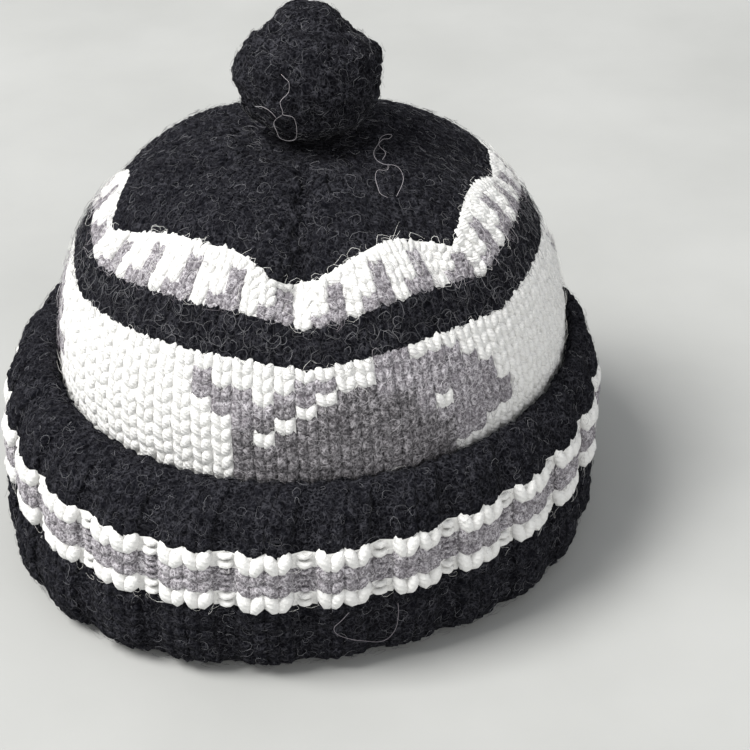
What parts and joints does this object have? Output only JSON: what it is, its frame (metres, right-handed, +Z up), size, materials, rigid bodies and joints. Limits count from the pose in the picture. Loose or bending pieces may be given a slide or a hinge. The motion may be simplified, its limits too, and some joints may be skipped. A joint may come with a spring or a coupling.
{
  "type": "knit cap with pompom",
  "caption": "Domed wool knit cap with a turned-up ribbed cuff, an open head hollow and a felted pompom tied to its peak.",
  "frame": {"origin": "centre of the cap's outline box, on the surface that the cuff's fold rests on", "axes": "+Z up through the crown's peak, front of the cap towards -Y, +X to the right as seen from the front; the soft outline is longest along Y and the height is the least extent"},
  "size_m": [0.1894, 0.199, 0.1683],
  "materials": {
    "crown_wool": "chunky knitted wool in black, cream and heather grey, felted and hairy",
    "cuff_wool": "ribbed knitted black wool with a cream and grey stripe",
    "pompom_wool": "felted black wool, hairy"
  },
  "bodies": {
    "root": {"crown": "crown_wool", "cuff": "cuff_wool", "pompom": "pompom_wool"}
  },
  "joints": []
}
